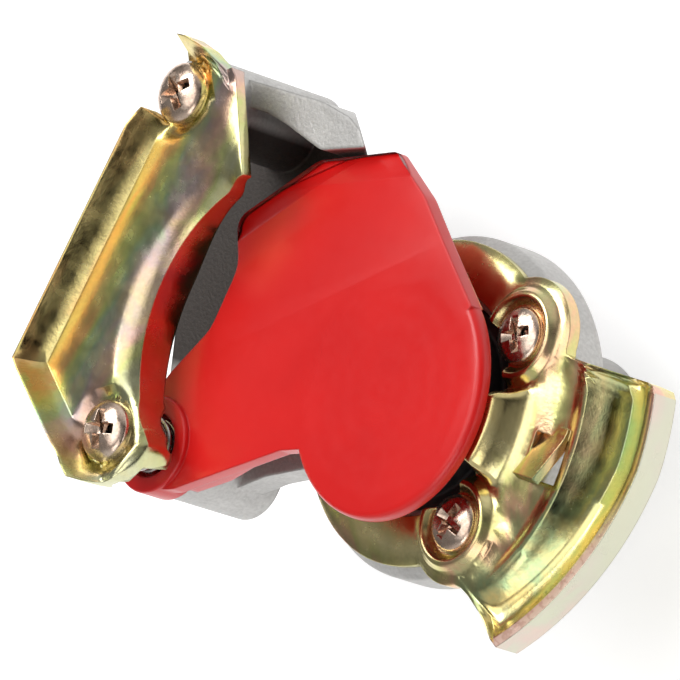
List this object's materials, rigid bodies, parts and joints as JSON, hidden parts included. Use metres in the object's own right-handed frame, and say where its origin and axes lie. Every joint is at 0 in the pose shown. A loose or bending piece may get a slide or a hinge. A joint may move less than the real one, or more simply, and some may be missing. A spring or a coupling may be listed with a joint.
{
  "type": "palm air brake coupling head",
  "caption": "Palm coupling head for a trailer air brake line: cast body with a rear threaded port, pressed claw and guide plates, face seal and a sprung swinging dust lid.",
  "frame": {"origin": "centre of the mouth of the rear threaded air port", "axes": "+Z along the port and seal axis towards the coupling face, +X towards the claw"},
  "size_m": [0.1163, 0.0769, 0.0605],
  "materials": {
    "cast_aluminium": "matt sand cast",
    "rubber": "moulded",
    "yellow_zinc": "yellow passivated zinc, iridescent",
    "red_plastic": "glossy moulded",
    "spring_steel": "bright",
    "screw_zinc": "yellow passivated zinc"
  },
  "bodies": {
    "head": {"housing": "cast_aluminium", "seal_ring": "rubber", "claw_plate": "yellow_zinc", "guide_bracket": "yellow_zinc", "pivot_bush": "spring_steel", "pivot_screw": "screw_zinc", "bracket_screw": "screw_zinc", "claw_screw_upper": "screw_zinc", "claw_screw_lower": "screw_zinc"},
    "cover": {"lid": "red_plastic", "lid_spring": "spring_steel"}
  },
  "joints": [
    {"name": "lid_swing", "type": "hinge", "parent": "head", "child": "cover", "pos_m": [-0.0484, -0.0203, 0.042], "axis": [0, 0, 1], "range_deg": [-85, 0], "stiffness_Nm_per_rad": 0.03, "springref_deg": 34.38}
  ]
}
